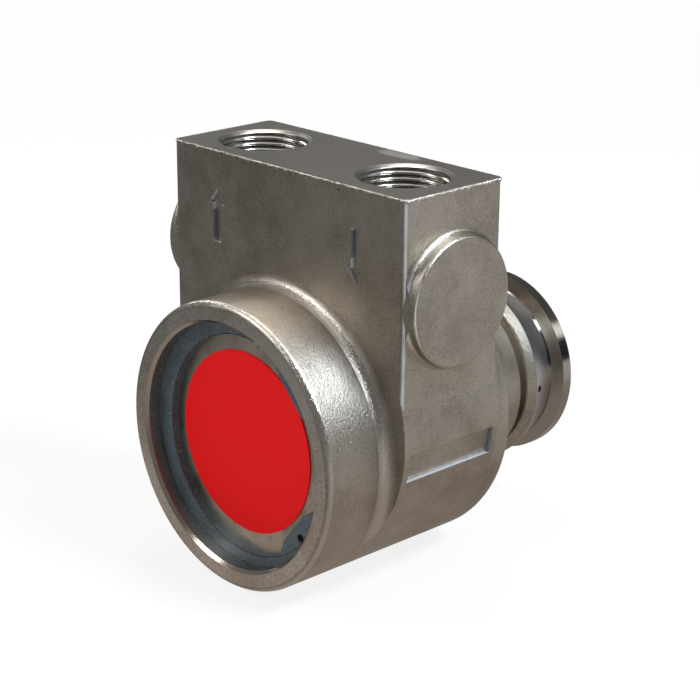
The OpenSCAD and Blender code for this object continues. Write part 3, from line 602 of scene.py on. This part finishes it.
def top_edge_burr():
    """The torn lip that the mill left round the block's top.

    A bead carried round the top's outline. Its radius and how far it hangs outwards are sums of
    sines of the distance along the outline, and it is thicker along the right side.
    """
    distance, length, line, out = top_outline()
    phase = 2 * np.pi * distance / length
    waves = sum(np.sin(count * phase + shift) for count, shift in [(37, 0), (83, 1), (151, 2), (263, 4)])
    wide = np.clip((line[:, 0] - BLOCK_HIGH.x + 2 * MM) / (2 * MM), 0, 1)
    size = (0.37 + 0.06 * waves + 0.20 * wide) * MM
    hang = (0.32 + 0.07 * np.sin(59 * phase + 0.5) + 0.05 * np.sin(211 * phase)) * MM
    around = np.linspace(0, 2 * np.pi, 8, endpoint=False)
    level = hang[:, None] - size[:, None] * (1 - np.cos(around)) * 0.9
    points = np.zeros((BURR_STEPS, len(around), 3))
    points[:, :, :2] = line[:, None, :] + out[:, None, :] * level[:, :, None] + np.array([0, PORT_Y])
    points[:, :, 2] = (BLOCK_HIGH.z - size - 0.01 * MM)[:, None] + size[:, None] * np.sin(around)
    faces = grid_quads(BURR_STEPS, len(around), True)
    add_piece("top_edge_burr", points, faces, "pump_body", FINISHES["burr"], 60)


# Stage: floor, studio bowl, lamps, world and camera

def stage_mesh(name, points, faces, material):
    thing = mesh_object(name, points, faces, material)
    return thing


def add_floor():
    """Pale paper under the part, which the camera sees as white with the part's soft shadow."""
    low, size = -DRUM_R, FLOOR_SIZE
    corners = [(-size, -size, low), (size, -size, low), (size, size, low), (-size, size, low)]
    paper = bpy.data.materials.new("floor_paper")
    s = Shader(paper)
    matt = s.add("ShaderNodeBsdfDiffuse", None, {"Color": grey(FLOOR_PAPER)})
    white = s.add("ShaderNodeEmission", None, {"Color": grey(1.0), "Strength": 1.0})
    x, y, _ = s.parts(s.here())
    far = s.step(radius_about(x, y), *SHADOW_RADII)
    seen = s.add("ShaderNodeLightPath", output="Is Camera Ray") * s.blend(far, WHITENESS, 1.0)
    shown = s.add("ShaderNodeMixShader", None, {0: seen, 1: matt, 2: white})
    s.add("ShaderNodeOutputMaterial", None, {"Surface": shown})
    stage_mesh("floor", corners, [(0, 1, 2, 3)], paper)


def bowl_glow(s):
    """The bowl's colour: grey zones by height and direction, with one bright spot to glint in."""
    at = s.here()
    x, y, z = s.parts(at)
    near = 1 - s.step(radius_about(x, y, 0.0, BLOCK_LOW.y / 2), *NEAR_RADII)
    above_floor = s.step(z, *FLOOR_TO_WALL)
    low = s.blend(s.step(x + y, *LOW_TURN), FRONT_GREY, FLOOR_GREY)
    low = s.blend(near, low, NEAR_GREY)
    high = s.blend(s.step(y, *HIGH_TURN), FRONT_GREY, BACK_GREY)
    dark = s.step(x + y, *DARK_TURN) * (1 - s.step(z, *DARK_TO_HIGH))
    level = s.blend(above_floor, low, s.blend(dark, high, HORIZON_GREY))
    level = s.blend(s.step(z, *WALL_TO_TOP), level, TOP_GREY)
    towards = s.dot(s.vector("NORMALIZE", at), GLINT_AIM)
    level = s.blend(s.step(towards, *GLINT_CONE), level, GLINT_GREY)
    return s.stretch(s.mix(near * (1 - above_floor), grey(1.0), NEAR_TINT), level)


def add_studio_bowl():
    """A grey bowl round the part, open above, for the metal to reflect. Only reflections see it."""
    radius, height = BOWL_PROFILE.T
    angle = np.linspace(0, 2 * np.pi, BOWL_STEPS, endpoint=False)[:, None]
    points = np.stack([radius * np.cos(angle), radius * np.sin(angle) + BLOCK_LOW.y / 2,
                       height - DRUM_R + BOWL_LIFT + 0 * angle], -1)
    faces = grid_quads(BOWL_STEPS, len(BOWL_PROFILE), True, False)
    material = bpy.data.materials.new("grey_bowl")
    s = Shader(material)
    glow = s.add("ShaderNodeEmission", None, {"Color": bowl_glow(s), "Strength": 1.0})
    s.add("ShaderNodeOutputMaterial", None, {"Surface": glow})
    bowl = stage_mesh("studio_bowl", points.reshape(-1, 3).tolist(), faces.tolist(), material)
    bowl.visible_camera = bowl.visible_diffuse = False
    bowl.visible_shadow = bowl.visible_transmission = False


def add_lamp(name, azimuth, elevation, distance, width, height, power, colour):
    """A softbox that looks at the part."""
    light = bpy.data.lights.new(name, "AREA")
    light.shape, light.size, light.size_y, light.energy = "RECTANGLE", width, height, power
    light.color = colour
    lamp = bpy.data.objects.new(name, light)
    turn, rise = math.radians(azimuth), math.radians(elevation)
    level = math.cos(rise)
    place = Vector((math.sin(turn) * level, math.cos(turn) * level, math.sin(rise)))
    lamp.location = LAMP_AIM + place * distance
    lamp.rotation_mode = "QUATERNION"
    lamp.rotation_quaternion = place.to_track_quat("Z", "Y")
    bpy.context.scene.collection.objects.link(lamp)


def add_world():
    """A dim even world on the part, which the camera, metal and glass see as white."""
    world = bpy.data.worlds.new("studio")
    bpy.context.scene.world = world
    s = Shader(world)
    rays = ("Is Camera Ray", "Is Glossy Ray", "Is Transmission Ray")
    camera, glossy, through = [s.add("ShaderNodeLightPath", output=ray) for ray in rays]
    strength = s.blend(camera | glossy | through, AMBIENT, 1.0)
    background = s.add("ShaderNodeBackground", None, {"Color": grey(1.0), "Strength": strength})
    s.add("ShaderNodeOutputWorld", None, {"Surface": background})


def add_camera():
    """The photograph's camera."""
    data = bpy.data.cameras.new("camera")
    data.sensor_width, data.lens = CAMERA_SENSOR, CAMERA_LENS
    data.clip_start, data.clip_end = CAMERA_CLIP
    camera = bpy.data.objects.new("camera", data)
    turn = Matrix((CAMERA_RIGHT, CAMERA_UP, CAMERA_RIGHT.cross(CAMERA_UP))).transposed()
    camera.matrix_world = Matrix.Translation(CAMERA_AT) @ turn.to_4x4()
    bpy.context.scene.collection.objects.link(camera)
    bpy.context.scene.camera = camera


dress_nodes()
pipe_thread("left_port_thread", -PORT_X)
pipe_thread("right_port_thread", PORT_X)
top_edge_burr()
add_floor()
add_studio_bowl()
for lamp in LAMPS:
    add_lamp(*lamp)
add_world()
add_camera()
bpy.context.scene.view_settings.view_transform = "Standard"
